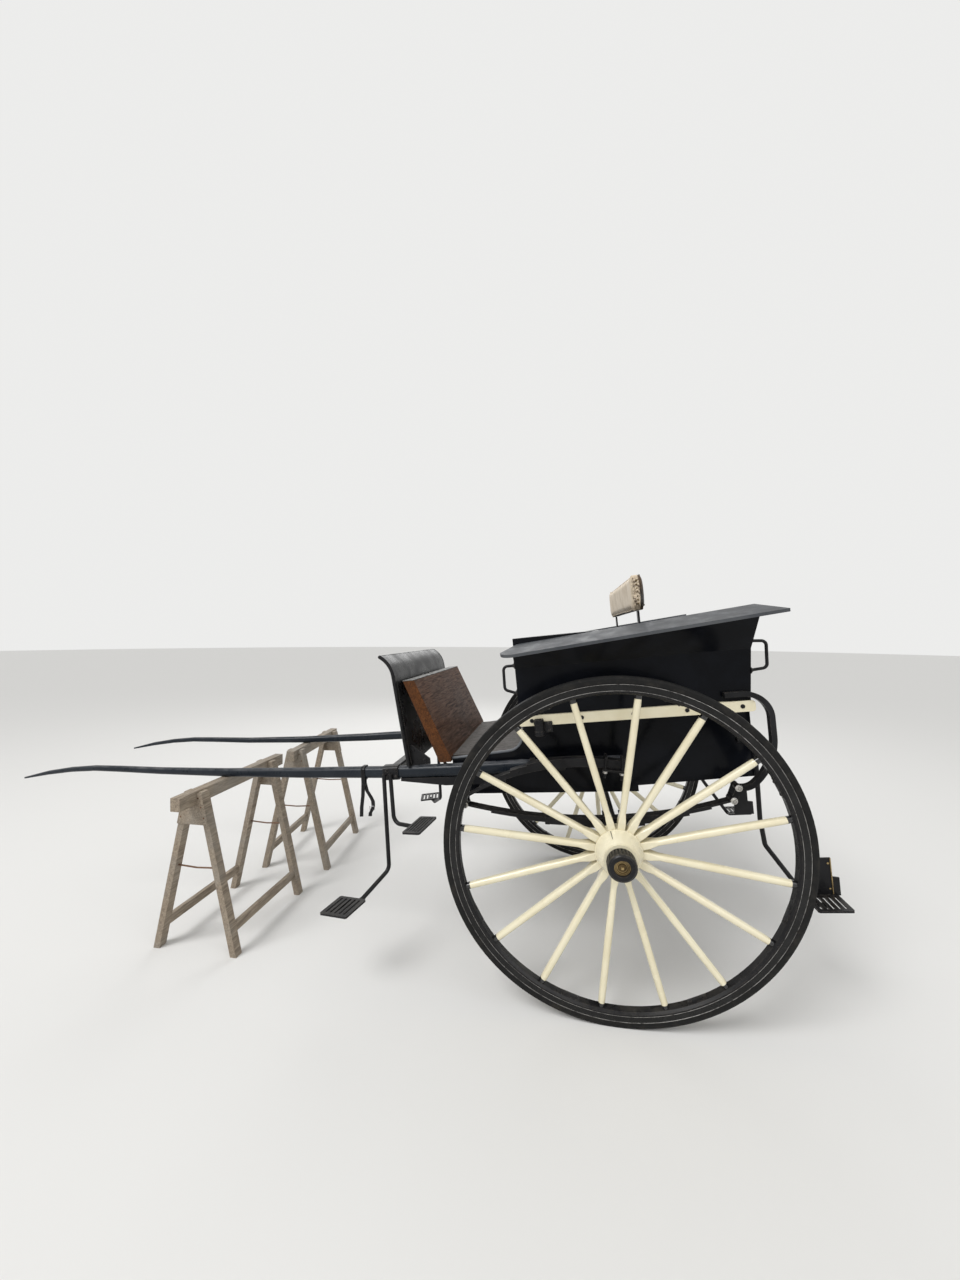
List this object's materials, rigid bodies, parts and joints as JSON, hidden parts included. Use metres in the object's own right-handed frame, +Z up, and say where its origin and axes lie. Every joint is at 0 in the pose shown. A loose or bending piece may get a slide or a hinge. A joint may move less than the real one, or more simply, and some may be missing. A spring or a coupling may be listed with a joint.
{
  "type": "horse drawn dog cart",
  "caption": "Two-wheeled horse-drawn dog cart with cream dished wheels, black panelled body, elliptic springs and long shafts, parked on wooden trestles.",
  "frame": {"origin": "on the ground, under the middle of the cart and its trestles", "axes": "+X towards the horse, +Y to the cart's left, +Z up"},
  "size_m": [3.9424, 1.6403, 1.6942],
  "materials": {
    "ivory": "gloss cream paint",
    "black_wood": "gloss black paint",
    "black_panel": "gloss black coach paint",
    "blue_black_wood": "worn blue-black paint",
    "grey_wing": "satin grey-blue paint",
    "floor_wood": "worn dark stain",
    "varnished_wood": "brown varnish",
    "weathered_pine": "bare weathered timber",
    "black_iron": "black enamel",
    "steel": "worn bright edges",
    "brass": "dull polish",
    "rubber": "matte black solid rubber",
    "leather": "black patent leather",
    "vinyl": "worn off-white covering"
  },
  "bodies": {
    "cart": {"axle": "black_iron", "backrest": "vinyl", "backrest_stays": "black_iron", "dash": "leather", "foot_floor": "floor_wood", "front_panel": "black_panel", "front_seat_board": "black_panel", "left_belt_board": "ivory", "left_body_side": "black_panel", "left_front_steps": "black_iron", "left_grab_irons": "black_iron", "left_lamp_socket": "black_iron", "left_lower_spring": "black_iron", "left_rear_step": "black_iron", "left_scroll_iron": "black_iron", "left_shackles": "black_iron", "left_shaft": "blue_black_wood", "left_shaft_irons": "black_iron", "left_spring_clips": "black_iron", "left_trestle": "weathered_pine", "left_upper_spring": "black_iron", "left_wing": "grey_wing", "rear_panel": "black_panel", "rear_seat_board": "black_panel", "right_belt_board": "ivory", "right_body_side": "black_panel", "right_front_steps": "black_iron", "right_grab_irons": "black_iron", "right_lamp_socket": "black_iron", "right_lower_spring": "black_iron", "right_rear_step": "black_iron", "right_scroll_iron": "black_iron", "right_shackles": "black_iron", "right_shaft": "blue_black_wood", "right_shaft_irons": "black_iron", "right_spring_clips": "black_iron", "right_trestle": "weathered_pine", "right_upper_spring": "black_iron", "right_wing": "grey_wing", "seat_rail": "black_panel", "splinter_bar": "black_wood", "tail_hinges": "black_iron", "toe_board": "varnished_wood", "well_floor": "floor_wood"},
    "left_wheel": {"left_rubber_tyre": "rubber", "left_rim_channel": "steel", "left_felloe": "black_wood", "left_spokes": "ivory", "left_nave": "ivory", "left_nose_band": "black_iron", "left_hub_cap": "brass"},
    "right_wheel": {"right_rubber_tyre": "rubber", "right_rim_channel": "steel", "right_felloe": "black_wood", "right_spokes": "ivory", "right_nave": "ivory", "right_nose_band": "black_iron", "right_hub_cap": "brass"},
    "tailboard": {"tailboard": "black_panel"}
  },
  "joints": [
    {"name": "left_wheel_spin", "type": "hinge", "parent": "cart", "child": "left_wheel", "pos_m": [-1.10415, 0.70055, 0.65108], "axis": [0, 0.9984, -0.0558], "continuous": true},
    {"name": "right_wheel_spin", "type": "hinge", "parent": "cart", "child": "right_wheel", "pos_m": [-1.10415, -0.70055, 0.65108], "axis": [0, 0.9984, 0.0558], "continuous": true},
    {"name": "tailboard_hinge", "type": "hinge", "parent": "cart", "child": "tailboard", "pos_m": [-1.62065, 0, 1.19002], "axis": [0, -1, 0], "range_deg": [0, 80]}
  ]
}
